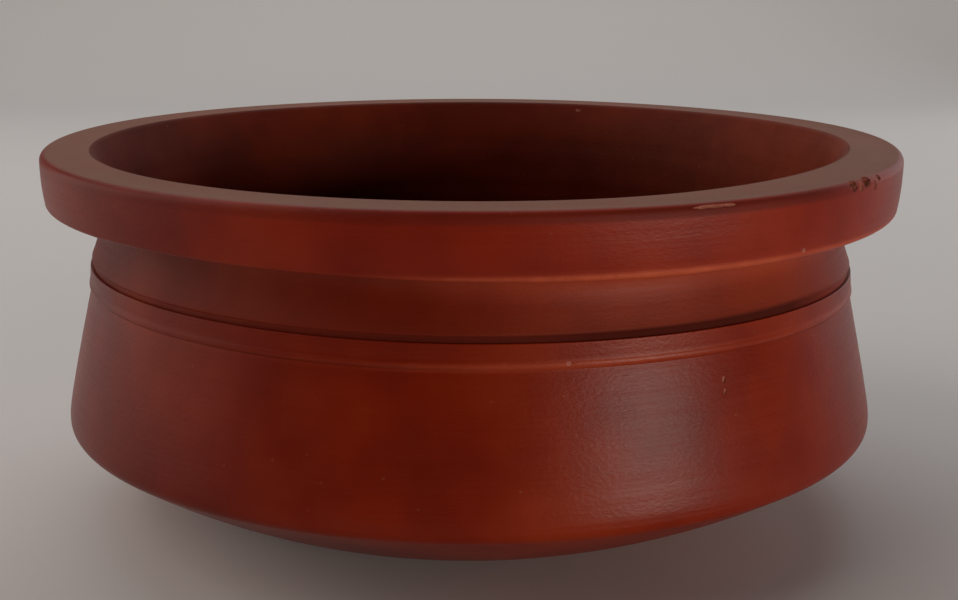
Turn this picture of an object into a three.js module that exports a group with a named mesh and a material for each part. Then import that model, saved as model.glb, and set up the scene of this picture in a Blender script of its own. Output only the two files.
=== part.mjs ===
// A round-bottomed terracotta cooking pot: flared wall, banded waist, drawn-in neck and thick square rim.
// It is built as a potter builds it, from five clay sections turned about one axis and seated on each other.
// Millimetres, +Z up. The pot stands on z = 0 and its axis is the z axis.
import * as THREE from 'three';

// Driving dimensions: the mouth and the rim
const mouthRadius = 114.5;
const rimWidth = 15.5;
const collarHeight = 15.7;
const collarTaper = 0.9;
const rimEdgeRadius = 2;

// Driving dimensions: the neck and the waist
const neckInset = 0.7;
const neckHeight = 18.9;
const neckCove = 4;
const neckFootSpread = 2.8;
const neckFlareHeight = 8;
const seatInset = 0.6;
const grooveWidth = 1.6;
const grooveDepth = 0.8;
const bandHeight = 6.8;
const bandThickness = 4;
const bandEdgeRadius = 1;
const fineLineSize = 0.8;

// Driving dimensions: the belly and the bottom
const bellySpread = 11.2;
const bellyHeight = 38.1;
const bellyUpright = 3.2;
const ledgeSpread = 3.2;
const cornerRadius = 5.8;
const dishRadius = 222;
const footRadius = 56;

// Driving dimensions: the clay itself and the luted joints
const wallThickness = 7.5;
const floorThickness = 8;
const tongueHeight = 6;
const tongueThickness = 3;
const lutingGap = 0.3;

// Facets round each turned piece, and along each curve of a profile
const facetsRound = 72;
const facetsPerCurve = 4;

// Outer radii, from the rim down to the belly
const rimRadius = mouthRadius + rimWidth;
const collarFootRadius = rimRadius - collarTaper;
const neckRadius = mouthRadius - neckInset;
const neckTopRadius = neckRadius + neckCove;
const neckFootRadius = neckRadius + neckFootSpread;
const grooveFloorRadius = neckFootRadius - grooveDepth;
const recessRadius = neckRadius - seatInset;
const bandInnerRadius = recessRadius + lutingGap;
const bandRadius = bandInnerRadius + bandThickness;
const ledgeRadius = neckRadius + ledgeSpread;
const bellyRadius = neckRadius + bellySpread;

// Inner radii, from the throat down to the belly
const throatRadius = neckRadius - wallThickness;
const mouthFootRadius = (throatRadius + mouthRadius - rimEdgeRadius) / 2;
const waistInnerRadius = throatRadius + ledgeSpread / 2;
const bellyInnerRadius = bellyRadius - wallThickness;

// The bottom is a shallow sphere cut flat at the foot, and the corner arc runs into it without a crease
const dishCentreZ = Math.sqrt(dishRadius ** 2 - footRadius ** 2);
const cornerCentreRadius = bellyRadius - cornerRadius;
const cornerDrop = Math.sqrt((dishRadius - cornerRadius) ** 2 - cornerCentreRadius ** 2);
const cornerAngle = Math.asin(cornerCentreRadius / (dishRadius - cornerRadius));

// Heights of the seats, from the widest line of the belly up to the rim
const bellySeatZ = dishCentreZ - cornerDrop;
const ledgeZ = bellySeatZ + bellyHeight;
const neckSeatZ = ledgeZ + bandHeight / 2;
const bandTopZ = ledgeZ + bandHeight;
const grooveZ = bandTopZ + grooveWidth;
const collarSeatZ = bandTopZ + neckHeight;
const rimZ = collarSeatZ + collarHeight;

// Each tongue stands inside the piece above it, with the luting gap round it and over it
const bellyTongueZ = bellySeatZ + tongueHeight;
const bellyTongueRadius = bellyInnerRadius + tongueThickness;
const collarTongueZ = collarSeatZ + tongueHeight;
const collarTongueRadius = mouthFootRadius + tongueThickness;

// Inside of the bottom: a parallel sphere, a flat floor, and a corner arc that ends upright at the tongue
const dishInnerRadius = dishRadius - wallThickness;
const floorRadius = Math.sqrt(dishInnerRadius ** 2 - (dishCentreZ - floorThickness) ** 2);
const tongueDrop = dishCentreZ - bellyTongueZ;
const innerCornerRadius = (dishInnerRadius ** 2 - bellyInnerRadius ** 2 - tongueDrop ** 2)
  / (2 * (dishInnerRadius - bellyInnerRadius));
const innerCornerCentreRadius = bellyInnerRadius - innerCornerRadius;
const innerCornerAngle = Math.asin(innerCornerCentreRadius / (dishInnerRadius - innerCornerRadius));

const at = (radius, height) => new THREE.Vector2(radius, height);

// Points of a round arc about a centre, from one angle to another, measured from level outward
function arc(centreRadius, centreZ, radius, startAngle, endAngle) {
  const curve = new THREE.EllipseCurve(centreRadius, centreZ, radius, radius, startAngle, endAngle);
  curve.aClockwise = endAngle < startAngle;
  return curve.getPoints(facetsPerCurve);
}

// Points of a curve that leaves its start towards the guide and reaches its end from the guide
function bow(start, guide, end) {
  return new THREE.QuadraticBezierCurve(start, guide, end).getPoints(facetsPerCurve);
}

// Turn a profile about the pot's axis; a profile off the axis is closed into a ring
function turn(name, profile, material) {
  const points = profile.filter((point, i) => i === 0 || point.distanceTo(profile[i - 1]) > 1e-6);
  if (points[0].x > 0) {
    points.push(points[0].clone());
  }
  const geometry = new THREE.LatheGeometry(points, facetsRound);
  geometry.rotateX(Math.PI / 2);
  const mesh = new THREE.Mesh(geometry, material);
  mesh.name = name;
  return mesh;
}

function clay(color, roughness) {
  return new THREE.MeshStandardMaterial({ color, roughness, metalness: 0 });
}

// The bottom, with the tongue that stands up inside the belly wall
function makeBaseDish() {
  const down = -Math.PI / 2;
  const footAngle = down + Math.asin(footRadius / dishRadius);
  const floorAngle = down + Math.asin(floorRadius / dishInnerRadius);
  const profile = [
    at(0, 0),
    at(footRadius, 0),
    ...arc(0, dishCentreZ, dishRadius, footAngle, down + cornerAngle),
    ...arc(cornerCentreRadius, bellySeatZ, cornerRadius, down + cornerAngle, 0),
    at(bellyTongueRadius, bellySeatZ),
    at(bellyTongueRadius, bellyTongueZ),
    ...arc(innerCornerCentreRadius, bellyTongueZ, innerCornerRadius, 0, down + innerCornerAngle),
    ...arc(0, dishCentreZ, dishInnerRadius, down + innerCornerAngle, floorAngle),
    at(0, floorThickness),
  ];
  return turn('base_dish', profile, clay(0x7a2c18, 0.5));
}

// The flared wall, with the ledge that carries the band and the seat that carries the neck
function makeBellyWall() {
  const rebateZ = bellyTongueZ + lutingGap;
  const rebateRadius = bellyTongueRadius + lutingGap;
  const outsideFoot = at(bellyRadius, bellySeatZ);
  const outsideGuide = at(bellyRadius, bellySeatZ + bellyUpright);
  const outsideTop = at(ledgeRadius, ledgeZ - fineLineSize);
  const insideTop = at(waistInnerRadius, neckSeatZ);
  const insideGuide = at(bellyInnerRadius, rebateZ + bellyUpright);
  const insideFoot = at(bellyInnerRadius, rebateZ);
  const profile = [
    ...bow(outsideFoot, outsideGuide, outsideTop),
    at(ledgeRadius - fineLineSize, ledgeZ),
    at(recessRadius, ledgeZ),
    at(recessRadius, neckSeatZ),
    ...bow(insideTop, insideGuide, insideFoot),
    at(rebateRadius, rebateZ),
    at(rebateRadius, bellySeatZ),
  ];
  return turn('belly_wall', profile, clay(0x8a3018, 0.42));
}

// The raised band, which lies on the ledge and covers the joint of belly and neck
function makeWaistBand() {
  const profile = [
    at(bandInnerRadius, ledgeZ),
    at(bandRadius - fineLineSize, ledgeZ),
    at(bandRadius, ledgeZ + fineLineSize),
    ...arc(bandRadius - bandEdgeRadius, bandTopZ - bandEdgeRadius, bandEdgeRadius, 0, Math.PI / 2),
    at(bandInnerRadius, bandTopZ),
  ];
  return turn('waist_band', profile, clay(0x8f351c, 0.42));
}

// The neck, drawn in to the throat: it reaches over the band, and its tongue stands up inside the rim
function makeNeckWall() {
  const coveZ = collarSeatZ - neckCove;
  const overBandZ = bandTopZ + lutingGap;
  const waistSlope = (bellyInnerRadius - waistInnerRadius) / (neckSeatZ - bellyTongueZ);
  const throatZ = (neckSeatZ + collarTongueZ) / 2;
  const throatGuide = at(waistInnerRadius - waistSlope * (throatZ - neckSeatZ), throatZ);
  const profile = [
    at(recessRadius, neckSeatZ),
    at(recessRadius, overBandZ),
    at(grooveFloorRadius, overBandZ),
    at(grooveFloorRadius, grooveZ),
    ...bow(at(neckFootRadius, grooveZ), at(neckRadius, grooveZ + neckFlareHeight), at(neckRadius, coveZ)),
    ...arc(neckTopRadius, coveZ, neckCove, Math.PI, Math.PI / 2),
    at(collarTongueRadius, collarSeatZ),
    at(collarTongueRadius, collarTongueZ),
    ...bow(at(mouthFootRadius, collarTongueZ), throatGuide, at(waistInnerRadius, neckSeatZ)),
  ];
  return turn('neck_wall', profile, clay(0x87301a, 0.45));
}

// The thick rim, with a flat top for a plate or a cover to lie on
function makeRimCollar() {
  const rebateZ = collarTongueZ + lutingGap;
  const rebateRadius = collarTongueRadius + lutingGap;
  const edgeZ = rimZ - rimEdgeRadius;
  const profile = [
    at(rebateRadius, collarSeatZ),
    at(collarFootRadius, collarSeatZ),
    ...arc(rimRadius - rimEdgeRadius, edgeZ, rimEdgeRadius, 0, Math.PI / 2),
    ...arc(mouthRadius + rimEdgeRadius, edgeZ, rimEdgeRadius, Math.PI / 2, Math.PI),
    at(mouthFootRadius, rebateZ),
    at(rebateRadius, rebateZ),
  ];
  return turn('rim_collar', profile, clay(0x8c4a34, 0.55));
}

const pot = new THREE.Group();
pot.add(makeBaseDish());
pot.add(makeBellyWall());
pot.add(makeWaistBand());
pot.add(makeNeckWall());
pot.add(makeRimCollar());

export default pot;
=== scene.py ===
# %% [markdown]
# # A terracotta biryani pot, turned on Blender's own wheel
# The pot is a wide cooking pot of low-fired clay: a round bottom, a flared wall, a raised band at the waist,
# a short drawn-in neck and a thick square rim. A potter makes it from five sections that are stuck together
# with liquid clay. This lesson makes the same five sections, each as a mesh of its own, and finishes them.
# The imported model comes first, because it fixes the size and the place of every section.

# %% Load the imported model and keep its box
import math
import random

import bpy
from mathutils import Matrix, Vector


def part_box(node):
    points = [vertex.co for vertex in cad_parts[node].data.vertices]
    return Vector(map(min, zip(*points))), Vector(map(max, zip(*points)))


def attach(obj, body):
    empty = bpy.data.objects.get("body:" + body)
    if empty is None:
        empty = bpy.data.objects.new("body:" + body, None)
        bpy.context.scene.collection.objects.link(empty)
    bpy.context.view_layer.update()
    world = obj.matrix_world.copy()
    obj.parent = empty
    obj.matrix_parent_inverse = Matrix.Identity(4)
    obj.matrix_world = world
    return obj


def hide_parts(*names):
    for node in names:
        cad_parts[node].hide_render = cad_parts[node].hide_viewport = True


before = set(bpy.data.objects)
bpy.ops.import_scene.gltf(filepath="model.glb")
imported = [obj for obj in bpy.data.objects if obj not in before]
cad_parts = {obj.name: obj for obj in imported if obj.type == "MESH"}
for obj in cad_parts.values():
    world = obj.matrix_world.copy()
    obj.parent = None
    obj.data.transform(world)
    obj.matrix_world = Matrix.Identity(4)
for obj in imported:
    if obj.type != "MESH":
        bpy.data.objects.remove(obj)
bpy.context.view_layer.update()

print("sections in the packed model:", sorted(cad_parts))

# %% [markdown]
# ## The camera
# The pot is seen from the front, a little above the rim, from less than half a metre away, so the near side
# of the rim looks larger than the far side. A lens can be guessed by eye, but here it was worked out from the
# ellipses of the rim and of the waist: a camera 58 mm above the rim, tilted 13.2 degrees down.

# %% Camera
CAMERA_PLACE = (0.0, -0.46686, 0.17235)
CAMERA_TILT_DOWN = 13.198
CAMERA_TURN_RIGHT = 0.255
CAMERA_LENS_MM = 56.37
CAMERA_SENSOR_MM = 36
CAMERA_NEAREST = 0.01

bpy.ops.object.select_all(action="DESELECT")
bpy.ops.object.camera_add(
    location=CAMERA_PLACE,
    rotation=(math.radians(90 - CAMERA_TILT_DOWN), 0, math.radians(-CAMERA_TURN_RIGHT)),
)
camera = bpy.context.object
camera.name = "camera"
camera.data.lens = CAMERA_LENS_MM
camera.data.sensor_width = CAMERA_SENSOR_MM
camera.data.clip_start = CAMERA_NEAREST
bpy.context.scene.camera = camera
bpy.context.scene.view_settings.view_transform = "Standard"
print("camera at", CAMERA_PLACE, "with a lens of", CAMERA_LENS_MM, "mm")

# %% [markdown]
# ## Levels of the pot
# A turned pot is a list of radii at heights. The heights of the seats and the outer radii are read from the
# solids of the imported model, so that each section sits where its solid does. They are worked in millimetres,
# as a potter would, and turned to metres only on the wheel.

# %% Levels and radii in millimetres
def level(node, end):
    """The lowest (0) or highest (1) level of a solid."""
    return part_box(node)[end].z * 1000


def reach(node):
    """The outer radius of a solid."""
    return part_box(node)[1].x * 1000


RIM_TOP_Z = level("rim_collar", 1)
COLLAR_SEAT_Z = level("rim_collar", 0)
BAND_TOP_Z = level("waist_band", 1)
LEDGE_Z = level("waist_band", 0)
NECK_SEAT_Z = level("neck_wall", 0)
WIDEST_Z = level("belly_wall", 0)
RIM_R = reach("rim_collar")
BAND_R = reach("waist_band")
BELLY_R = reach("belly_wall")
print("rim %.1f mm across at %.1f mm, belly %.1f mm across" % (2 * RIM_R, RIM_TOP_Z, 2 * BELLY_R))

# %% [markdown]
# ## Drawing a half section
# A half section is drawn as straight runs, round arcs and bows, each one a short list of (radius, height)
# points. A bow is a curve that leaves its start towards a guide point and comes to its end from there.

# %% Helpers that draw a half section
def run(start, end, steps):
    """Points of a straight run, without its start."""
    (r0, z0), (r1, z1) = start, end
    return [(r0 + (r1 - r0) * i / steps, z0 + (z1 - z0) * i / steps) for i in range(1, steps + 1)]


def arc(centre_r, centre_z, radius, start, end, steps):
    """Points of a round arc between two angles in degrees, measured from level outward."""
    angles = [math.radians(start + (end - start) * i / steps) for i in range(steps + 1)]
    return [(centre_r + radius * math.cos(a), centre_z + radius * math.sin(a)) for a in angles]


def bow(start, guide, end, steps):
    """Points of a bow from start to end."""
    points = []
    for i in range(steps + 1):
        t = i / steps
        a, b, c = (1 - t) ** 2, 2 * t * (1 - t), t ** 2
        points.append(tuple(a * s + b * g + c * e for s, g, e in zip(start, guide, end)))
    return points


# %% [markdown]
# ## Throwing lines
# Fingers and a wet rag leave shallow rings in clay that turns on a wheel. They are too regular for random
# noise and too deep for a painted texture, so they are put in the half section itself, as a sum of a few
# waves up the height. Outside they were burnished down to about a hundredth of a millimetre, and inside the
# fingers left far more.

# %% Helper that adds throwing lines
# Each wave is its length, its depth and its phase, in millimetres and radians
OUTSIDE_WAVES = ((9.3, 0.012, 0.4), (4.1, 0.006, 2.1), (2.3, 0.003, 5.0), (1.45, 0.0015, 1.2))
INSIDE_WAVES = ((8.2, 0.050, 0.9), (5.3, 0.020, 3.3), (2.6, 0.008, 1.7))
FULL_WAVES_R = 100


def with_throwing_lines(points, waves):
    """The same points, each moved in or out by the waves at its height, less and less towards the axis."""
    moved = []
    for r, z in points:
        ripple = sum(depth * math.sin(2 * math.pi * z / length + phase) for length, depth, phase in waves)
        moved.append((r + ripple * min(1, r / FULL_WAVES_R), z))
    return moved


# %% [markdown]
# ## The wheel
# A round mesh could be made by a Screw modifier, or by stacking rings. Here the section is drawn point by
# point with the extrude tool and then spun once round the pot's axis, which is what a wheel does to the clay
# under a potter's rib. After the spin its first and last rows lie on each other, so doubles are merged before
# the normals are recalculated.

# %% The wheel
STEPS_ROUND = 256
SAME_POINT = 1e-5
START_SIZE = 0.01


def turn_on_wheel(name, outline):
    """A closed round mesh from a half section in millimetres; one that starts off the axis becomes a ring."""
    points = [Vector((r / 1000, 0, z / 1000)) for r, z in outline]
    if points[0].x > SAME_POINT:
        points.append(points[0])
    bpy.ops.object.select_all(action="DESELECT")
    bpy.ops.mesh.primitive_plane_add(size=START_SIZE)
    section = bpy.context.object
    section.name = section.data.name = name
    # The plane is merged to one point, and the point is drawn out along the section
    bpy.ops.object.mode_set(mode="EDIT")
    bpy.ops.mesh.select_all(action="SELECT")
    bpy.ops.mesh.merge(type="CENTER")
    bpy.ops.transform.translate(value=points[0])
    for here, there in zip(points, points[1:]):
        bpy.ops.mesh.extrude_region_move(TRANSFORM_OT_translate={"value": there - here})
    bpy.ops.mesh.select_all(action="SELECT")
    bpy.ops.mesh.spin(steps=STEPS_ROUND, angle=2 * math.pi, center=(0, 0, 0), axis=(0, 0, 1))
    bpy.ops.mesh.select_all(action="SELECT")
    bpy.ops.mesh.remove_doubles(threshold=SAME_POINT)
    bpy.ops.mesh.normals_make_consistent(inside=False)
    bpy.ops.object.mode_set(mode="OBJECT")
    print(name, "has", len(section.data.polygons), "faces")
    return section


# %% [markdown]
# ## The bottom
# The bottom is a shallow dish pressed over a mould: nearly a piece of a large sphere, with a small flat spot,
# and a tight corner where it turns up into the wall. A tongue stands up inside the wall, so that the joint
# has a lap. The arcs share their tangents, so no crease shows where dish and corner meet.

# %% Sizes of the base dish
DISH_R = 222.0
FOOT_R = 56.0
CORNER_R = 3.8
WALL = 7.5
FLOOR_Z = 8.0
TONGUE_HEIGHT = 6.0
TONGUE_THICKNESS = 3.0

dish_centre_z = math.sqrt(DISH_R ** 2 - FOOT_R ** 2)
foot_tilt = math.degrees(math.asin(FOOT_R / DISH_R))
corner_centre_r = BELLY_R - CORNER_R
corner_tilt = math.degrees(math.asin(corner_centre_r / (DISH_R - CORNER_R)))
corner_z = dish_centre_z - math.sqrt((DISH_R - CORNER_R) ** 2 - corner_centre_r ** 2)
inner_dish_r = DISH_R - WALL
inner_belly_r = BELLY_R - WALL
tongue_r = inner_belly_r + TONGUE_THICKNESS
tongue_top_z = WIDEST_Z + TONGUE_HEIGHT
floor_tilt = math.degrees(math.acos((dish_centre_z - FLOOR_Z) / inner_dish_r))
print("dish of %.0f mm radius, with its corner %.1f mm up" % (DISH_R, corner_z))

# %% Base dish
# The flat spot runs into the dish over this distance to both sides of its edge
FOOT_EASE = 4.0
FOOT_EASE_RISE = 1.12
FOOT_EASE_TURN = 1.1
# An arc leaves out this many degrees where its neighbour already has the shared point
SHARED = 1

# The inner corner ends upright at the top of the tongue and runs into the inner dish without a crease
tongue_drop = dish_centre_z - tongue_top_z
inner_gap = inner_dish_r - inner_belly_r
inner_corner_r = (inner_dish_r ** 2 - inner_belly_r ** 2 - tongue_drop ** 2) / (2 * inner_gap)
inner_corner_centre_r = inner_belly_r - inner_corner_r
inner_tilt = math.degrees(math.asin(inner_corner_centre_r / (inner_dish_r - inner_corner_r)))

ease_start = (FOOT_R - FOOT_EASE, 0)
ease_end = (FOOT_R + FOOT_EASE, FOOT_EASE_RISE)
dish_outside = run((0, 0), ease_start, steps=12)
dish_outside += bow(ease_start, (FOOT_R, 0), ease_end, steps=6)
dish_outside += arc(0, dish_centre_z, DISH_R, foot_tilt + FOOT_EASE_TURN - 90, corner_tilt - 90, steps=70)
dish_outside += arc(corner_centre_r, corner_z, CORNER_R, corner_tilt - 90 + SHARED, 0, steps=16)
dish_outside += run(dish_outside[-1], (BELLY_R, WIDEST_Z), steps=3)
dish_inside = arc(
    inner_corner_centre_r, tongue_top_z, inner_corner_r, 0, inner_tilt - 90 - SHARED, steps=12
)
dish_inside += arc(0, dish_centre_z, inner_dish_r, inner_tilt - 90, floor_tilt - 90, steps=44)
dish_outline = [(0, 0)] + with_throwing_lines(dish_outside, OUTSIDE_WAVES)
dish_outline += [(tongue_r, WIDEST_Z), (tongue_r, tongue_top_z)]
dish_outline += with_throwing_lines(dish_inside, INSIDE_WAVES) + [(0, FLOOR_Z)]
base_dish = turn_on_wheel("base_dish_clay", dish_outline)

# %% [markdown]
# ## The wall
# The wall was thrown as a ring and leans in towards the waist with a slight bow. The band above stands out
# over its top edge by a little over half a millimetre, and that low step is the line that runs round the pot.

# %% Belly wall
BELLY_UPRIGHT = 3.2
LEDGE_R = 117.0
RECESS_R = 113.2
WAIST_INNER_R = 107.9
LUTING_GAP = 0.3

rebate_r = tongue_r + LUTING_GAP
rebate_z = tongue_top_z
belly_outside = bow(
    (BELLY_R, WIDEST_Z), (BELLY_R, WIDEST_Z + BELLY_UPRIGHT), (LEDGE_R, LEDGE_Z), steps=96
)
belly_inside = bow(
    (WAIST_INNER_R, NECK_SEAT_Z),
    (inner_belly_r, rebate_z + BELLY_UPRIGHT),
    (inner_belly_r, rebate_z),
    steps=36,
)
belly_outline = with_throwing_lines(belly_outside, OUTSIDE_WAVES)
belly_outline += [(RECESS_R, LEDGE_Z), (RECESS_R, NECK_SEAT_Z)]
belly_outline += with_throwing_lines(belly_inside, INSIDE_WAVES)
belly_outline += [(rebate_r, rebate_z), (rebate_r, WIDEST_Z)]
belly_wall = turn_on_wheel("belly_wall_clay", belly_outline)

# %% [markdown]
# ## The band
# A coil of clay was laid round the waist over the joint and pressed flat with a rib, which left a low bead
# along its lower edge. The bead is worn round and runs out on the wall, so it shows as a soft ridge and not as
# a dark line. Its paleness is wear and a painted highlight for the light it catches, laid on later in the
# slip.

# %% Waist band
BAND_INNER_R = RECESS_R + LUTING_GAP
BAND_LEAN = 0.45
BAND_EDGE = 0.25
BEAD = 0.15
# Heights of the bead above the ledge: the guide of its foot, its fullest line, the guide of its head, its top
BEAD_FOOT, BEAD_MIDDLE, BEAD_HEAD, BEAD_TOP = 0.5, 1.0, 1.6, 2.2
FINE_WAVES = OUTSIDE_WAVES[2:]

bead_r = BAND_R + BEAD
face_head = (BAND_R - BAND_LEAN, BAND_TOP_Z - BAND_EDGE)
ledge_lip = (LEDGE_R, LEDGE_Z)
bead_middle = (bead_r, LEDGE_Z + BEAD_MIDDLE)
bead_top = (BAND_R - BEAD, LEDGE_Z + BEAD_TOP)
band_outline = [(BAND_INNER_R, LEDGE_Z), ledge_lip]
band_outline += bow(ledge_lip, (BAND_R, LEDGE_Z + BEAD_FOOT), bead_middle, steps=8)[1:]
band_outline += bow(bead_middle, (bead_r, LEDGE_Z + BEAD_HEAD), bead_top, steps=6)[1:]
band_outline += run(bead_top, face_head, steps=6)
band_outline += arc(face_head[0] - BAND_EDGE, face_head[1], BAND_EDGE, 0, 90, steps=8)[1:]
band_outline += [(BAND_INNER_R, BAND_TOP_Z)]
waist_band = turn_on_wheel("waist_band_clay", with_throwing_lines(band_outline, FINE_WAVES))

# %% [markdown]
# ## The neck
# The neck was drawn in with the fingers and leaves a groove above the band, cut with a pointed stick. At its
# top it spreads in a small cove to carry the rim, and a tongue stands up inside the rim.

# %% Neck wall
NECK_R = 113.5
NECK_FOOT_R = 116.6
NECK_FLARE = 8.0
NECK_CLEARANCE = 0.05
GROOVE_R = 116.15
GROOVE_WIDTH = 1.6
COVE_R = 4.8
MOUTH_FOOT_R = 109.4
THROAT_GUIDE_R = 104.1
# The upper edge of the groove: where its floor starts to turn out and towards what, and the lip above it
GROOVE_BEND, GROOVE_GUIDE = 0.9, 0.2
LIP_INSET, LIP_GUIDE, LIP_LEAN, LIP_HEIGHT = 0.3, 0.1, 0.1, 0.7

groove_foot_z = BAND_TOP_Z + NECK_CLEARANCE
groove_top_z = BAND_TOP_Z + GROOVE_WIDTH
groove_bend = (GROOVE_R, groove_top_z - GROOVE_BEND)
lip_start = (NECK_FOOT_R - LIP_INSET, groove_top_z)
lip_end = (NECK_FOOT_R - LIP_LEAN, groove_top_z + LIP_HEIGHT)
cove_z = COLLAR_SEAT_Z - COVE_R
collar_tongue_r = MOUTH_FOOT_R + TONGUE_THICKNESS
collar_tongue_z = COLLAR_SEAT_Z + TONGUE_HEIGHT
throat_guide = (THROAT_GUIDE_R, (NECK_SEAT_Z + collar_tongue_z) / 2)

neck_outside = [(GROOVE_R, groove_foot_z)]
neck_outside += bow(groove_bend, (GROOVE_R, groove_top_z - GROOVE_GUIDE), lip_start, steps=6)
neck_outside += bow(lip_start, (NECK_FOOT_R, groove_top_z + LIP_GUIDE), lip_end, steps=5)[1:]
neck_outside += bow(lip_end, (NECK_R, groove_top_z + NECK_FLARE), (NECK_R, cove_z), steps=34)[1:]
neck_outside += arc(NECK_R + COVE_R, cove_z, COVE_R, 180, 90, steps=12)[1:]
neck_inside = bow(
    (MOUTH_FOOT_R, collar_tongue_z), throat_guide, (WAIST_INNER_R, NECK_SEAT_Z), steps=28
)
neck_outline = [(RECESS_R, NECK_SEAT_Z), (RECESS_R, groove_foot_z)]
neck_outline += with_throwing_lines(neck_outside, OUTSIDE_WAVES)
neck_outline += [(collar_tongue_r, COLLAR_SEAT_Z), (collar_tongue_r, collar_tongue_z)]
neck_outline += with_throwing_lines(neck_inside, INSIDE_WAVES)
neck_wall = turn_on_wheel("neck_wall_clay", neck_outline)

# %% [markdown]
# ## The rim
# The thick rim is a coil beaten square and smoothed with a wet rag, so its edges are round, its outer face is
# a little full, and its flat top dips by a hair in the middle. Inside, it runs down to the throat in one easy
# curve.

# %% Rim collar
MOUTH_R = 114.5
COLLAR_FOOT_R = 129.1
LOWER_EDGE_R = 1.2
RIM_EDGE_R = 2.2
FACE_FULLNESS = 0.25
TOP_DIP = 0.15
TOP_GUIDE_IN = 7.5
# The mouth's edge: its radius, the share of it that the top gives up, its last angle, and the guide below it
MOUTH_EDGE_R = 2.0
MOUTH_EDGE_SHARE = 0.7
MOUTH_SLOPE = 45
MOUTH_GUIDE = (110.9, 108.2)
# The arcs of the outer edges leave out this many degrees, where the face already has the shared point
EDGE_SHARED = 9

face_foot = (COLLAR_FOOT_R, COLLAR_SEAT_Z + LOWER_EDGE_R)
face_top = (RIM_R, RIM_TOP_Z - RIM_EDGE_R)
face_guide_r = (face_foot[0] + face_top[0]) / 2 + 2 * FACE_FULLNESS
face_guide = (face_guide_r, (face_foot[1] + face_top[1]) / 2)
top_guide = (RIM_R - TOP_GUIDE_IN, RIM_TOP_Z - 2 * TOP_DIP)
flat_end = (MOUTH_R + MOUTH_EDGE_SHARE * MOUTH_EDGE_R, RIM_TOP_Z)
mouth_edge_z = RIM_TOP_Z - MOUTH_EDGE_R

collar_face = arc(COLLAR_FOOT_R - LOWER_EDGE_R, face_foot[1], LOWER_EDGE_R, -90, -EDGE_SHARED, steps=8)
collar_face += bow(face_foot, face_guide, face_top, steps=40)
rim_top = arc(RIM_R - RIM_EDGE_R, face_top[1], RIM_EDGE_R, EDGE_SHARED, 90, steps=9)
rim_top += bow(rim_top[-1], top_guide, flat_end, steps=16)[1:]
rim_top += arc(flat_end[0], mouth_edge_z, MOUTH_EDGE_R, 90, 90 + MOUTH_SLOPE, steps=6)[1:]
rim_top += bow(rim_top[-1], MOUTH_GUIDE, (MOUTH_FOOT_R, collar_tongue_z), steps=14)[1:]
collar_rebate_r = collar_tongue_r + LUTING_GAP
collar_outline = [(collar_rebate_r, COLLAR_SEAT_Z)] + with_throwing_lines(collar_face, OUTSIDE_WAVES)
collar_outline += rim_top + [(collar_rebate_r, collar_tongue_z)]
rim_collar = turn_on_wheel("rim_collar_clay", collar_outline)

# %% [markdown]
# ## Out of true
# No pot of this kind is quite round. The belly sits a little to the left of the rim, the right side hangs a
# millimetre or so lower than the middle, the rim rises a little at the back and the sides, and everything
# waves by a few tenths of a millimetre. Each section could be bent by itself, but then the joints would gape.
# So one lattice round the whole pot bends all five sections together. The seed keeps every run the same.

# %% Bend all the sections with one lattice
CAGE_SIZE = (0.28, 0.28, 0.124)
CAGE_POINTS = 6
CAGE_SEED = 11
# The most that a point of the cage is moved, in metres
WOBBLE = 0.0003
BELLY_LEAN = -0.0012
RIGHT_DROP = -0.0015
BACK_RISE = 0.0004
SIDE_RISE = 0.0006
# How fast a bend sets in from the foot up, or from the rim down, over the height of the cage
DROP_FROM_FOOT, DROP_FROM_RIM, RISE_FROM_RIM, WOBBLE_FROM_FOOT = 1.7, 5, 4, 3
# The rise begins behind this line of the cage and is full after this length
RISE_START, RISE_LENGTH = -0.6, 0.8


def pick(piece):
    """Select one object alone and make it the active one."""
    bpy.ops.object.select_all(action="DESELECT")
    bpy.context.view_layer.objects.active = piece
    piece.select_set(True)


sections = [base_dish, belly_wall, waist_band, neck_wall, rim_collar]
bpy.ops.object.select_all(action="DESELECT")
bpy.ops.object.add(type="LATTICE", location=(0, 0, RIM_TOP_Z / 2000))
cage = bpy.context.object
cage.scale = CAGE_SIZE
cage.data.points_u = cage.data.points_v = cage.data.points_w = CAGE_POINTS
chance = random.Random(CAGE_SEED)
for point in cage.data.points:
    height = point.co.z + 0.5
    side = 2 * point.co.x
    depth = 2 * point.co.y
    sway = [chance.uniform(-WOBBLE, WOBBLE) for axis in "xyz"]
    drop = RIGHT_DROP * side * min(1, DROP_FROM_FOOT * height, DROP_FROM_RIM * (1 - height))
    behind = min(1, max(0, (depth - RISE_START) / RISE_LENGTH))
    drop += (BACK_RISE + SIDE_RISE * side ** 2) * behind * max(0, 1 - RISE_FROM_RIM * (1 - height))
    point.co_deform.x += (sway[0] + BELLY_LEAN * (1 - height)) / cage.scale.x
    point.co_deform.y += sway[1] / cage.scale.y
    point.co_deform.z += (drop + sway[2] * min(1, WOBBLE_FROM_FOOT * height)) / cage.scale.z
for section in sections:
    pick(section)
    bend = section.modifiers.new("out of true", "LATTICE")
    bend.object = cage
    bpy.ops.object.modifier_apply(modifier=bend.name)
bpy.data.objects.remove(cage)
print("bent", len(sections), "sections together")

# %% [markdown]
# ## Back on the table
# The lattice moves every point a little, also those of the foot. A real pot stands on its lowest point, so
# that point is measured, and all the sections are moved together until it lies on the table.

# %% Stand the pot on the table again
lowest = min(vertex.co.z for vertex in base_dish.data.vertices)
for section in sections:
    pick(section)
    bpy.ops.object.mode_set(mode="EDIT")
    bpy.ops.mesh.select_all(action="SELECT")
    bpy.ops.transform.translate(value=(0, 0, -lowest))
    bpy.ops.object.mode_set(mode="OBJECT")
print("the bent foot was %.3f mm off the table" % (lowest * 1000))

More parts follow.
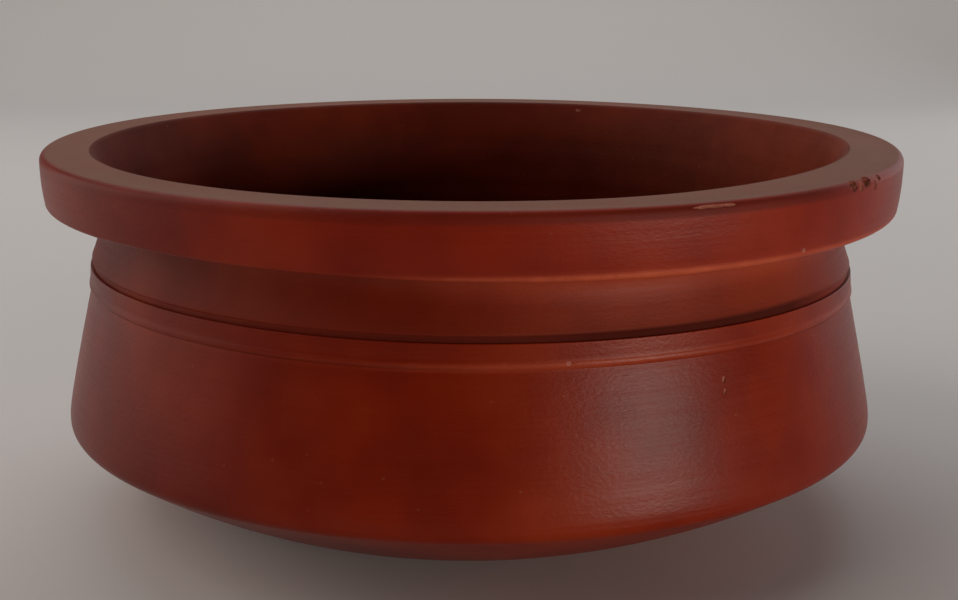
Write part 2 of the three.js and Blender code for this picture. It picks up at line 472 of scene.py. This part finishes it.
# %% [markdown]
# ## The thumb and the sag
# On the right the potter's thumb left the rim wider, so the mouth runs in there by more than a millimetre and
# its edge stands up by almost one. At the front the lower edge of the rim sagged while the clay was wet, and
# the neck went with it. A weight group says how far each point follows, as if it was painted with the weight
# brush, and a Displace modifier moves the group. The weights fade out before the next joint, so that all the
# joints stay shut.

# %% Helpers that push a part of a section
def push(section, name, weight_of, axis, distance):
    """Move the points of a section along an axis, each by its weight times the distance in metres."""
    group = section.vertex_groups.new(name=name)
    for vertex in section.data.vertices:
        turn = math.degrees(math.atan2(vertex.co.x, -vertex.co.y))
        radius = math.hypot(vertex.co.x, vertex.co.y) * 1000
        weight = weight_of(turn, radius, vertex.co.z * 1000)
        if weight > 0:
            group.add([vertex.index], weight, "REPLACE")
    pick(section)
    mover = section.modifiers.new(name, "DISPLACE")
    mover.vertex_group = group.name
    mover.direction = axis
    mover.mid_level = 0
    mover.strength = distance
    bpy.ops.object.modifier_apply(modifier=mover.name)
    section.vertex_groups.clear()
    print("pushed", section.name, "by", distance * 1000, "mm along", axis)


def clamp(value):
    """The value, kept between 0 and 1."""
    return min(1, max(0, value))


def ease(value):
    """A soft step from 0 to 1."""
    t = clamp(value)
    return t * t * (3 - 2 * t)


# %% Push the mouth in on the right
# Turns are in degrees right of the front; rise, edge and fade in millimetres; the two pushes in metres
THUMB_TURN = 62
THUMB_SPREAD = 50
THUMB_RISE = 6
THUMB_EDGE = 4
THUMB_FADE = 8
THUMB_IN = 0.0016
THUMB_UP = 0.0008


def thumb_weight(turn, radius, height):
    """Most at the mouth on the right, and none at the outer edge or down at the joint."""
    round_mouth = max(0, 1 - ((turn - THUMB_TURN) / THUMB_SPREAD) ** 2) ** 2
    up_throat = clamp((height - collar_tongue_z) / THUMB_RISE)
    across_top = clamp((RIM_R - THUMB_EDGE - radius) / THUMB_FADE)
    return round_mouth * up_throat * across_top


push(rim_collar, "thumb in", thumb_weight, "X", -THUMB_IN)
push(rim_collar, "thumb up", thumb_weight, "Z", THUMB_UP)

# %% Let the edge of the rim sag at the front
# The turn is in degrees right of the front, the margin in millimetres, and the drop in metres
SAG_TURN = 16
SAG_FOCUS = 4
SAG_MARGIN = 2
SAG_DROP = 0.0014

sag_foot_z = groove_top_z + SAG_MARGIN
sag_head_z = RIM_TOP_Z - SAG_MARGIN


def sag_weight(turn, radius, height):
    """Most at the seat of the rim, right of the front, and none at the groove or the rim's top."""
    round_pot = max(0, math.cos(math.radians(turn - SAG_TURN))) ** SAG_FOCUS
    below = ease((height - sag_foot_z) / (COLLAR_SEAT_Z - sag_foot_z))
    above = ease((sag_head_z - height) / (sag_head_z - COLLAR_SEAT_Z))
    return round_pot * min(below, above)


push(rim_collar, "sag of the rim", sag_weight, "Z", -SAG_DROP)
push(neck_wall, "sag of the neck", sag_weight, "Z", -SAG_DROP)

# %% [markdown]
# ## Colours and nodes
# Colours are written as the sRGB hex values that a paint chart would give, and one function turns them to the
# linear values that a shader works with. Another adds a node with its settings and its links. Patterns lie on
# Object coordinates, which are in metres, so a texture's scale is how many of its cells go into a metre.

# %% Helpers for materials
def linear(hex_colour):
    """Linear RGBA of an sRGB hex colour."""
    parts = [int(hex_colour[i:i + 2], 16) / 255 for i in (1, 3, 5)]
    return [c / 12.92 if c <= 0.04045 else ((c + 0.055) / 1.055) ** 2.4 for c in parts] + [1]


def add(tree, kind, inputs=None, **settings):
    """Add a shader node, set its settings, and link or set its inputs."""
    node = tree.nodes.new("ShaderNode" + kind)
    for name, value in settings.items():
        setattr(node, name, value)
    for socket, value in (inputs or {}).items():
        if isinstance(value, bpy.types.NodeSocket):
            tree.links.new(value, node.inputs[socket])
        else:
            node.inputs[socket].default_value = value
    return node


# A Mix node has several sockets of one name, so the ones for colours are told by their numbers
MIX_FACTOR, MIX_A, MIX_B, MIX_RESULT = 0, 6, 7, 2
# Most of a noise lies between these two values
NOISE_LOW, NOISE_HIGH = 0.3, 0.7


def set_stops(ramp, stops):
    """Give a colour ramp its stops, as pairs of position and colour."""
    band = ramp.color_ramp
    while len(band.elements) > 1:
        band.elements.remove(band.elements[-1])
    band.elements[0].position, band.elements[0].color = stops[0]
    for position, colour in stops[1:]:
        band.elements.new(position).color = colour


def new_finish(name):
    """An empty material, its node tree, and the place on the pot that its patterns read."""
    material = bpy.data.materials.new(name)
    material.use_nodes = True
    tree = material.node_tree
    tree.nodes.clear()
    return material, tree, add(tree, "TexCoord").outputs["Object"]


# %% [markdown]
# ## Where a finish is worn, lit or shaded
# On a turned pot, wear follows the height, and so do light and shade: an edge is rubbed and catches the light,
# a groove and the upper edge of the rim's face lie in shade. Here the wear, a painted light on the edges and a
# painted shade are laid in the colour, and they differ from left to right as the light does. So a mask is a
# ramp up the height times a few slopes across the pot. A mask could be painted by hand, but then it would be a
# picture, and it wouldn't follow a change of size.

# %% Helpers for masks
def by_height(tree, place, stops):
    """A mask up the height of the pot; its stops are pairs of height in millimetres and amount."""
    where = add(tree, "SeparateXYZ", {"Vector": place})
    share = add(tree, "MapRange", {
        "Value": where.outputs["Z"], "From Min": 0, "From Max": RIM_TOP_Z / 1000})
    mask = add(tree, "ValToRGB", {"Fac": share.outputs["Result"]})
    set_stops(mask, [(z / RIM_TOP_Z, (amount, amount, amount, 1)) for z, amount in stops])
    return mask.outputs["Color"]


def across_pot(tree, place, start, end, low, high):
    """A mask that goes from low to high between two places from left to right, in metres."""
    where = add(tree, "SeparateXYZ", {"Vector": place})
    mask = add(tree, "MapRange", {
        "Value": where.outputs["X"], "From Min": start, "From Max": end, "To Min": low, "To Max": high})
    return mask.outputs["Result"]


def together(tree, masks):
    """The product of several masks."""
    whole = masks[0]
    for mask in masks[1:]:
        whole = add(tree, "Math", {0: whole, 1: mask}, operation="MULTIPLY").outputs["Value"]
    return whole


# %% [markdown]
# ## Burnished slip
# Slip is a thin coat of fine red clay in water. It was brushed on while the pot turned, rubbed with a smooth
# stone when nearly dry, and fired low. To the eye that is a satin red-brown: cloudy patches where the fire
# was hotter, fine level streaks from brush and stone, a few pale grains, and paler clay where edges are
# rubbed. On top of that, light and shade are painted in: light on edges that catch it, shade in the groove and
# along the upper edge of the rim's face, and a pale sheen on the dusty top. One picture of all that would be
# flat and would repeat, so each layer is a pattern of its own, laid on the one below: the fired colour, the
# worn and lit edges, the painted shade, the dust and its painted sheen, and the relief.

# %% Fired colour of the slip
PATCHES_PER_METRE = 22
# Across, in depth and up
STREAKS_PER_METRE = (16, 16, 1100)
GRAINS_PER_METRE = 120
# A grain is solid up to the first share of the spacing and ends at the second, about 0.7 mm across
GRAIN_CORE, GRAIN_EDGE = 0.03, 0.06
GRAIN_SHARE = 0.4
GRAIN_COLOUR = "#8e4a32"


def brush_streaks(tree, place):
    """Level streaks of brush and stone, long round the pot and less than a millimetre high."""
    stretched = add(tree, "Mapping", {"Vector": place, "Scale": STREAKS_PER_METRE})
    streaks = add(tree, "TexNoise", {
        "Vector": stretched.outputs["Vector"], "Scale": 1, "Detail": 3, "Roughness": 0.6})
    return streaks.outputs["Fac"]


def fired_colour(tree, place, streaks, colours, streak_share):
    """Cloudy patches from the fire between three colours, darker and lighter streaks, and pale grains."""
    dark, body, warm = [linear(colour) for colour in colours]
    cloud = add(tree, "TexNoise", {
        "Vector": place, "Scale": PATCHES_PER_METRE, "Detail": 3, "Roughness": 0.55})
    patches = add(tree, "ValToRGB", {"Fac": cloud.outputs["Fac"]})
    set_stops(patches, [(0.32, dark), (0.5, body), (0.7, warm)])
    streak_tone = add(tree, "MapRange", {
        "Value": streaks, "From Min": NOISE_LOW, "From Max": NOISE_HIGH,
        "To Min": 1 - streak_share, "To Max": 1 + streak_share})
    streaked = add(tree, "Mix", {
        MIX_FACTOR: 1.0, MIX_A: patches.outputs["Color"], MIX_B: streak_tone.outputs["Result"]},
        data_type="RGBA", blend_type="MULTIPLY")
    grains = add(tree, "TexVoronoi", {
        "Vector": place, "Scale": GRAINS_PER_METRE, "Randomness": 1.0})
    grain_mask = add(tree, "MapRange", {
        "Value": grains.outputs["Distance"], "From Min": GRAIN_CORE, "From Max": GRAIN_EDGE,
        "To Min": GRAIN_SHARE, "To Max": 0})
    grained = add(tree, "Mix", {
        MIX_FACTOR: grain_mask.outputs["Result"], MIX_A: streaked.outputs[MIX_RESULT],
        MIX_B: linear(GRAIN_COLOUR)}, data_type="RGBA")
    return grained.outputs[MIX_RESULT]


# %% Worn and lit edges, and painted shade
RUBS_PER_METRE = 130
RUB_LEAST = 0.6
# Paler worn clay; the same colour paints the light on lit edges, under the rim and high inside on the right
WORN_AND_LIT_COLOUR = "#b85436"
# Painted shade, laid in the neck's groove and along the upper edge of the rim's face
PAINTED_SHADE_COLOUR = "#380902"
PAINTED_SHADE_DULLS = 0.4
# From left to right, in metres: where the painted shade grows from faint to full, and where it fades out
SHADE_FADES_IN_LEFT = (-0.11, 0.04)
SHADE_FADES_OUT_RIGHT = (0.085, 0.106)


def worn_and_lit_edges(tree, place, colour, stops, rub_at):
    """Paler clay at rubbed edges, and painted light where edges catch it; from left to right, the last
    argument is where it begins, is full, fades and is faint.
    """
    begins, full, fades, faint = rub_at
    wear_and_light_noise = add(tree, "TexNoise", {
        "Vector": place, "Scale": RUBS_PER_METRE, "Detail": 4, "Roughness": 0.65})
    patchy_wear_and_light = add(tree, "MapRange", {
        "Value": wear_and_light_noise.outputs["Fac"], "From Min": NOISE_LOW, "From Max": NOISE_HIGH, "To Min": RUB_LEAST})
    wear_and_light = together(tree, [
        by_height(tree, place, stops),
        patchy_wear_and_light.outputs["Result"],
        across_pot(tree, place, begins, full, low=0.12, high=1),
        across_pot(tree, place, fades, faint, low=1, high=0.35),
    ])
    worn_and_lit = add(tree, "Mix", {
        MIX_FACTOR: wear_and_light, MIX_A: colour, MIX_B: linear(WORN_AND_LIT_COLOUR)}, data_type="RGBA")
    return worn_and_lit.outputs[MIX_RESULT]


def painted_shade(tree, place, colour, rough, stops):
    """Painted shade, darker and duller, which fades out to the left and the right."""
    shade_amount = together(tree, [
        by_height(tree, place, stops),
        across_pot(tree, place, *SHADE_FADES_IN_LEFT, low=0.1, high=1),
        across_pot(tree, place, *SHADE_FADES_OUT_RIGHT, low=1, high=0),
    ])
    shade_painted = add(tree, "Mix", {
        MIX_FACTOR: shade_amount, MIX_A: colour, MIX_B: linear(PAINTED_SHADE_COLOUR)}, data_type="RGBA")
    dulled = add(tree, "Math", {0: shade_amount, 1: PAINTED_SHADE_DULLS, 2: rough}, operation="MULTIPLY_ADD")
    return shade_painted.outputs[MIX_RESULT], dulled.outputs["Value"]


# %% Dust and painted sheen
DUST_PATCHES_PER_METRE = 90
# Pale dust, and a painted sheen for the grazing light that the flat top of the rim reflects
DUST_AND_SHEEN_COLOUR = "#86604e"
DUST_AND_SHEEN_SHARE = 0.85
DUST_ROUGHENS = 0.3
# The upward part of a face's normal at which the dust and its painted sheen begin, and at which they are full
DUST_BEGINS, DUST_FULL = 0.92, 0.995


def dust_and_painted_sheen(tree, place, colour, rough):
    """Dry dust on the faces that look up, painted paler for the sheen of grazing light on them; it hides the
    slip and most of its gloss.
    """
    facing = add(tree, "SeparateXYZ", {"Vector": add(tree, "NewGeometry").outputs["Normal"]})
    up = add(tree, "MapRange", {
        "Value": facing.outputs["Z"], "From Min": DUST_BEGINS, "From Max": DUST_FULL, "To Max": DUST_AND_SHEEN_SHARE})
    settled = add(tree, "TexNoise", {
        "Vector": place, "Scale": DUST_PATCHES_PER_METRE, "Detail": 5, "Roughness": 0.7})
    patchy = add(tree, "MapRange", {
        "Value": settled.outputs["Fac"], "From Min": 0.25, "From Max": 0.6, "To Min": 0.55, "To Max": 1})
    dust_and_sheen_mask = together(tree, [up.outputs["Result"], patchy.outputs["Result"]])
    dusty = add(tree, "Mix", {
        MIX_FACTOR: dust_and_sheen_mask, MIX_A: colour, MIX_B: linear(DUST_AND_SHEEN_COLOUR)}, data_type="RGBA")
    dulled = add(tree, "Math", {0: dust_and_sheen_mask, 1: DUST_ROUGHENS, 2: rough}, operation="MULTIPLY_ADD")
    return dusty.outputs[MIX_RESULT], dulled.outputs["Value"]


# %% Relief of brush and stone
FLECKS_PER_METRE = (650, 650, 1300)
STREAK_DEPTH, FLECK_DEPTH = 0.00005, 0.00013
RELIEF_SHARE = 0.6


def stone_relief(tree, place, streaks):
    """Streaks about 0.03 mm deep, and the small flat flecks that the burnishing stone left, about 0.08 mm."""
    flecked = add(tree, "Mapping", {"Vector": place, "Scale": FLECKS_PER_METRE})
    flecks = add(tree, "TexNoise", {
        "Vector": flecked.outputs["Vector"], "Scale": 1, "Detail": 3, "Roughness": 0.6})
    streaky = add(tree, "Bump", {"Height": streaks, "Strength": RELIEF_SHARE, "Distance": STREAK_DEPTH})
    relief = add(tree, "Bump", {
        "Height": flecks.outputs["Fac"], "Strength": RELIEF_SHARE, "Distance": FLECK_DEPTH,
        "Normal": streaky.outputs["Normal"]})
    return relief.outputs["Normal"]


# %% [markdown]
# ## The four slips of the pot
# The wall, the neck, the rim and the inside have the same slip and differ in how they were rubbed and in the
# light and shade painted on them, so one function lays the layers on each other, and its numbers say how. The
# stone didn't reach into the neck, which was only rubbed with a cloth, and nobody rubbed the inside.

# %% Slip
CLAY_IOR = 1.45
# The streaks differ in roughness by this much to both sides
STREAK_GLOSS = 0.03
# From left to right, in metres: where the wear and the painted light begin, are full, fade and are faint
WORN_AND_LIT_ON_THE_RIGHT = (-0.03, 0.025, 0.05, 0.13)


def paint_slip(
    name, colours, rough, gloss, streak_share, wear_and_light_stops,
    rub_at=WORN_AND_LIT_ON_THE_RIGHT, shade_stops=None, dusty=False,
):
    """A slip from its dark, plain and warm colours and its finish, with its wear and painted light, its
    painted shade, and its dust and painted sheen.
    """
    material, tree, place = new_finish(name)
    streaks = brush_streaks(tree, place)
    colour = fired_colour(tree, place, streaks, colours, streak_share)
    colour = worn_and_lit_edges(tree, place, colour, wear_and_light_stops, rub_at)
    finish = add(tree, "MapRange", {
        "Value": streaks, "From Min": NOISE_LOW, "From Max": NOISE_HIGH,
        "To Min": rough - STREAK_GLOSS, "To Max": rough + STREAK_GLOSS}).outputs["Result"]
    if shade_stops:
        colour, finish = painted_shade(tree, place, colour, finish, shade_stops)
    if dusty:
        colour, finish = dust_and_painted_sheen(tree, place, colour, finish)
    shader = add(tree, "BsdfPrincipled", {
        "Base Color": colour, "Roughness": finish, "Normal": stone_relief(tree, place, streaks),
        "IOR": CLAY_IOR, "Specular IOR Level": gloss})
    add(tree, "OutputMaterial", {"Surface": shader.outputs["BSDF"]})
    print("made", name)
    return material


# %% Slips of the wall, the neck, the rim and the inside
# Rubbed with a stone: a satin skin that shows a window as a broad soft light, and a pale bead, worn and
# painted with a highlight at the front
outside_slip = paint_slip(
    "burnished red slip", ("#661605", "#751c05", "#86290b"), rough=0.36, gloss=0.175, streak_share=0.03,
    wear_and_light_stops=[
        (0, 0), (LEDGE_Z - 0.6, 0), (LEDGE_Z, 0.5), (LEDGE_Z + 1.5, 0.6), (LEDGE_Z + 2.4, 0.03),
        (BAND_TOP_Z, 0.03)],
    rub_at=(-0.03, 0.02, 0.025, 0.07))
# Rubbed with a cloth only: duller and more orange; painted light under the rim for the light bounced into the
# cove, and painted shade in the groove and just above it
neck_slip = paint_slip(
    "rubbed slip of the neck", ("#6a1a05", "#78220a", "#882e0e"), rough=0.5, gloss=0.18, streak_share=0.03,
    wear_and_light_stops=[(0, 0), (NECK_SEAT_Z + 12, 0), (COLLAR_SEAT_Z - 4, 0.4), (COLLAR_SEAT_Z, 0.55)],
    shade_stops=[
        (0, 0.88), (groove_top_z - 0.2, 0.88), (groove_top_z + 0.6, 0.22), (groove_top_z + 9, 0)])
# Burnished at the side and dry on top: a red satin face, painted shade along its upper edge, a worn lower edge
# with a painted highlight, and a dull dusty flat top like biscuit, painted paler for its sheen
rim_slip = paint_slip(
    "burnished slip with a dusty top", ("#721804", "#822006", "#922c0b"), rough=0.4, gloss=0.2,
    streak_share=0.035,
    wear_and_light_stops=[(0, 1.0), (COLLAR_SEAT_Z - 0.3, 1.0), (COLLAR_SEAT_Z + 0.5, 0.12), (COLLAR_SEAT_Z + 1.5, 0)],
    shade_stops=[
        (0, 0), (RIM_TOP_Z - 3.6, 0), (RIM_TOP_Z - 2.8, 0.45), (RIM_TOP_Z - 0.9, 0.6), (RIM_TOP_Z - 0.1, 0)],
    dusty=True)
# Brushed and left: dry and dull, and painted dark for the shade so that the inside looks deep; painted light
# high on the inside to the right
inside_slip = paint_slip(
    "dry slip of the inside", ("#461104", "#561605", "#661f08"), rough=0.6, gloss=0.1, streak_share=0.04,
    wear_and_light_stops=[(0, 0), (40, 0), (80, 0.2), (RIM_TOP_Z, 0.25)],
    rub_at=(0.04, 0.09, 0.12, 0.13))

# %% [markdown]
# ## Bare clay
# Inside a chip the body of the pot shows without slip: coarse and dull. A deep chip is painted dark for the
# shade in its hollow, and a fresh scrape or a nick left by a grain of grit is paler than the slip.

# %% Bare clay
BARE_GRAINS_PER_METRE = 1600
BARE_ROUGHNESS = 0.85
BARE_DEPTH = 0.0002


def bare_clay(name, dark, pale):
    """Coarse unslipped clay, mottled between two colours by its grains."""
    material, tree, place = new_finish(name)
    coarse = add(tree, "TexNoise", {"Vector": place, "Scale": BARE_GRAINS_PER_METRE, "Detail": 4})
    tone = add(tree, "ValToRGB", {"Fac": coarse.outputs["Fac"]})
    set_stops(tone, [(NOISE_LOW, linear(dark)), (NOISE_HIGH, linear(pale))])
    relief = add(tree, "Bump", {
        "Height": coarse.outputs["Fac"], "Strength": RELIEF_SHARE, "Distance": BARE_DEPTH})
    shader = add(tree, "BsdfPrincipled", {
        "Base Color": tone.outputs["Color"], "Roughness": BARE_ROUGHNESS,
        "Normal": relief.outputs["Normal"], "IOR": CLAY_IOR})
    add(tree, "OutputMaterial", {"Surface": shader.outputs["BSDF"]})
    print("made", name)
    return material


# A rough hollow in the red, painted dark for its shade, and a small light speck
shade_dark_broken_clay = bare_clay("broken clay painted dark with shade", "#4c180d", "#96503c")
pale_clay = bare_clay("fresh scraped clay", "#84402f", "#ac6c58")

# %% [markdown]
# ## Dressing the sections
# Each section gets its outside finish, and the faces that look into the pot get the dry one. They could be
# picked by hand, but their normal tells: where it points towards the axis, or up from the bottom of the pot,
# the face is inside.

# %% Put the slips on the sections
# In metres: the inside of the wall lies within this radius, and the bottom ends below this height
INSIDE_R = 0.1195
BOTTOM_Z = 0.045
LOOKS_IN = -0.05
LOOKS_UP = 0.5


def inside_face(face):
    """Whether a face looks into the pot."""
    spread = Vector((face.center.x, face.center.y, 0))
    inward = face.normal.dot(spread.normalized()) < LOOKS_IN and spread.length < INSIDE_R
    return inward or (face.normal.z > LOOKS_UP and face.center.z < BOTTOM_Z)


for section in sections:
    outside = {rim_collar: rim_slip, neck_wall: neck_slip}.get(section, outside_slip)
    section.data.materials.clear()
    for material in (outside, inside_slip):
        section.data.materials.append(material)
    inner = 0
    for face in section.data.polygons:
        face.material_index = 1 if inside_face(face) else 0
        inner += face.material_index
    print(section.name, "has", inner, "faces inside the pot")

# %% [markdown]
# ## Knocks and grit
# The rim was knocked twice on the right: once at the front, where a row of chips broke out with a paler spot
# between them, and once at the far right. Its upper edge is scraped right of the front, and grit left a few
# pale nicks on the rim, the band and the wall. A chip is a bite out of the clay with a rough floor, so a lump
# with a noisy surface is taken away with a Boolean modifier. A dent pushed in with the move tool would leave
# the edge soft, and a chip has a crisp one. The modifier carries the lump's own material over to the new
# faces. All the lumps of a section are joined first, so that each section is cut only once.

# %% Lumps and bites
# A lump starts as a ball of 1 mm radius, so that its half sizes are in millimetres
LUMP_UNIT = 0.001
LUMP_ROUGHNESS = 0.9
GRIT_SIZE = 0.0017

grit = bpy.data.textures.new("grit of a broken edge", "CLOUDS")
grit.noise_scale = GRIT_SIZE


def noisy_lump(turn, radius, height, size, material):
    """A rough lump, turn degrees right of the front; its half sizes are along, in and up, in millimetres."""
    angle = math.radians(turn)
    place = Vector((radius * math.sin(angle), -radius * math.cos(angle), height)) / 1000
    bpy.ops.object.select_all(action="DESELECT")
    bpy.ops.mesh.primitive_ico_sphere_add(subdivisions=4, radius=LUMP_UNIT)
    lump = bpy.context.object
    bpy.ops.object.mode_set(mode="EDIT")
    bpy.ops.mesh.select_all(action="SELECT")
    bpy.ops.transform.resize(value=size)
    bpy.ops.transform.rotate(value=-angle, orient_axis="Z", center_override=(0, 0, 0))
    bpy.ops.transform.translate(value=place)
    bpy.ops.object.mode_set(mode="OBJECT")
    rough = lump.modifiers.new("broken clay", "DISPLACE")
    rough.texture = grit
    rough.texture_coords = "LOCAL"
    rough.strength = LUMP_ROUGHNESS * min(size) / 1000
    bpy.ops.object.modifier_apply(modifier=rough.name)
    lump.data.materials.append(material)
    return lump


def bite(section, lumps):
    """Take the lumps out of a section, which keeps their materials on the new faces."""
    bpy.ops.object.select_all(action="DESELECT")
    for lump in lumps:
        lump.select_set(True)
    bpy.context.view_layer.objects.active = lumps[0]
    bpy.ops.object.join()
    bpy.context.view_layer.objects.active = section
    chip = section.modifiers.new("chips", "BOOLEAN")
    chip.operation = "DIFFERENCE"
    chip.object = lumps[0]
    chip.solver = "EXACT"
    chip.material_mode = "TRANSFER"
    bpy.ops.object.modifier_apply(modifier=chip.name)
    bpy.data.objects.remove(lumps[0])
    print(section.name, "has", len(section.data.polygons), "faces after", len(lumps), "bites")


# %% Bite out the knocks and the nicks
bite(rim_collar, [
    noisy_lump(49.3, 130.1, 113.0, (2.3, 1.9, 1.8), shade_dark_broken_clay),
    noisy_lump(51.1, 130.05, 112.4, (1.3, 1.1, 1.8), pale_clay),
    noisy_lump(52.95, 129.8, 113.4, (2.5, 2.2, 2.1), shade_dark_broken_clay),
    noisy_lump(55.15, 130.3, 111.5, (1.1, 1.1, 1.7), shade_dark_broken_clay),
    noisy_lump(56.7, 130.0, 113.3, (1.2, 1.3, 1.2), shade_dark_broken_clay),
    noisy_lump(89.0, 130.6, 113.0, (2.4, 1.7, 1.4), shade_dark_broken_clay),
    noisy_lump(26.4, 129.95, 113.0, (8.0, 0.8, 0.5), pale_clay),
    noisy_lump(40.0, 129.4, 98.6, (1.0, 0.6, 0.8), pale_clay),
    noisy_lump(159.2, 113.4, 112.3, (0.9, 0.6, 0.7), pale_clay),
])
bite(waist_band, [
    noisy_lump(11.7, 117.8, 74.6, (0.6, 0.5, 1.4), pale_clay),
    noisy_lump(61.7, 117.9, 73.6, (1.4, 0.7, 0.9), pale_clay),
])
bite(belly_wall, [
    noisy_lump(32.8, 118.3, 65.3, (0.6, 0.5, 0.9), pale_clay),
    noisy_lump(32.8, 118.9, 62.4, (0.6, 0.5, 0.8), pale_clay),
])

# %% [markdown]
# ## Smooth shading
# Each section is smooth along its curves and sharp at its arrises and round its chips, so shading is smoothed
# by angle: an edge that bends more than the angle stays sharp.

# %% Shade the sections
SHARP_FROM = 38

for section in sections:
    pick(section)
    bpy.ops.object.shade_smooth_by_angle(angle=math.radians(SHARP_FROM))
print("shaded", [section.name for section in sections])

# %% [markdown]
# ## The studio
# The pot stands on a seamless sweep of pale paper: a floor that curves up into a wall. It is a plane whose
# far edge is pulled up, with the fold rounded by the bevel tool.

# %% Paper sweep
PAPER_WIDTH, PAPER_LENGTH, PAPER_HEIGHT = 2.1, 2.45, 2.2
PAPER_MIDDLE_Y = 0.575
PAPER_BEND = 0.6
AT_FOLD = 0.001

paper_back_y = PAPER_MIDDLE_Y + PAPER_LENGTH / 2


def select_fold(piece):
    """In object mode, select only the edge where the floor meets the wall."""
    for edge in piece.data.edges:
        ends = [piece.data.vertices[i].co for i in edge.vertices]
        edge.select = all(abs(end.y - paper_back_y) < AT_FOLD and abs(end.z) < AT_FOLD for end in ends)


bpy.ops.object.select_all(action="DESELECT")
bpy.ops.mesh.primitive_plane_add(size=1)
sweep = bpy.context.object
sweep.name = "paper_sweep"
bpy.ops.object.mode_set(mode="EDIT")
bpy.ops.mesh.select_mode(type="EDGE")
bpy.ops.mesh.select_all(action="SELECT")
bpy.ops.transform.resize(value=(PAPER_WIDTH, PAPER_LENGTH, 1))
bpy.ops.transform.translate(value=(0, PAPER_MIDDLE_Y, 0))
bpy.ops.mesh.select_all(action="DESELECT")
bpy.ops.object.mode_set(mode="OBJECT")
select_fold(sweep)
bpy.ops.object.mode_set(mode="EDIT")
bpy.ops.mesh.extrude_region_move(TRANSFORM_OT_translate={"value": (0, 0, PAPER_HEIGHT)})
bpy.ops.mesh.select_all(action="DESELECT")
bpy.ops.object.mode_set(mode="OBJECT")
select_fold(sweep)
bpy.ops.object.mode_set(mode="EDIT")
bpy.ops.mesh.bevel(offset=PAPER_BEND, segments=16, affect="EDGES")
bpy.ops.mesh.select_mode(type="VERT")
bpy.ops.object.mode_set(mode="OBJECT")
bpy.ops.object.shade_smooth()
print("paper sweep has", len(sweep.data.polygons), "faces")

# %% [markdown]
# ## Paper
# Studio paper is uncoated, so it is matt: it takes the pot's soft shadow and shows no image of the lamps.
# It has to stay plain, so here a single pale colour will do.

# %% Pale matt paper
paper = bpy.data.materials.new("pale matt paper")
paper.use_nodes = True
paper_shader = paper.node_tree.nodes["Principled BSDF"]
paper_shader.inputs["Base Color"].default_value = linear("#dcdad9")
paper_shader.inputs["Roughness"].default_value = 0.7
paper_shader.inputs["Specular IOR Level"].default_value = 0.3
sweep.data.materials.append(paper)
print("laid", paper.name, "on", sweep.name)

# %% [markdown]
# ## Soft light
# A low window to the right of the camera makes the broad satin light on the belly. It stands far off, past
# the edge of the paper, so that it doesn't burn the floor white. A wall of light on the left and a fainter
# one behind on the right make the sheen at the sides. A soft box high on the left fills the shadows, and a
# large one high behind the pot lights the floor and the flat top of the rim. The room in front stays dim,
# because a burnished pot shows whatever stands before it.

# %% Lamps
LAMP_AIM = Vector((0, 0, 0.06))


def soft_box(name, turn, lift, distance, size, watts, tint):
    """A rectangular lamp that looks at the pot, turn degrees right of the front and lift degrees up."""
    a, e = math.radians(turn), math.radians(lift)
    back = Vector((math.sin(a) * math.cos(e), -math.cos(a) * math.cos(e), math.sin(e)))
    bpy.ops.object.select_all(action="DESELECT")
    bpy.ops.object.light_add(type="AREA", location=LAMP_AIM + back * distance)
    lamp = bpy.context.object
    lamp.name = name
    lamp.rotation_euler = (-back).to_track_quat("-Z", "Y").to_euler()
    lamp.data.shape = "RECTANGLE"
    lamp.data.size, lamp.data.size_y = size
    lamp.data.energy = watts
    lamp.data.color = linear(tint)[:3]
    print("lamp", name, "of", watts, "W")


soft_box("window_right", turn=47, lift=4, distance=2.2, size=(0.88, 0.44), watts=24.5, tint="#fff0e4")
soft_box("wall_left", turn=-98, lift=12, distance=1.3, size=(1.7, 0.8), watts=4.1, tint="#fff4ee")
soft_box("wall_right", turn=128, lift=14, distance=1.3, size=(1.0, 0.9), watts=2.2, tint="#ffffff")
soft_box("front_top", turn=-72, lift=42, distance=1.6, size=(1.6, 1.0), watts=7.0, tint="#fff2e6")
soft_box("overhead", turn=-172, lift=58, distance=1.7, size=(2.2, 1.4), watts=11.4, tint="#ffffff")

# %% Dim room
ROOM_COLOUR = "#e8e6e4"
ROOM_LIGHT = 0.02

world = bpy.data.worlds.new("dim room")
bpy.context.scene.world = world
world.use_nodes = True
room = world.node_tree.nodes["Background"]
room.inputs["Color"].default_value = linear(ROOM_COLOUR)
room.inputs["Strength"].default_value = ROOM_LIGHT
print("the room has a light of", ROOM_LIGHT)

# %% [markdown]
# ## Joining the imported model
# Each section takes the place of its solid, which is hidden, and rides on the one body of the pot.

# %% Hand over
for section in sections:
    node = section.name.replace("_clay", "")
    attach(section, "root")
    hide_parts(node)
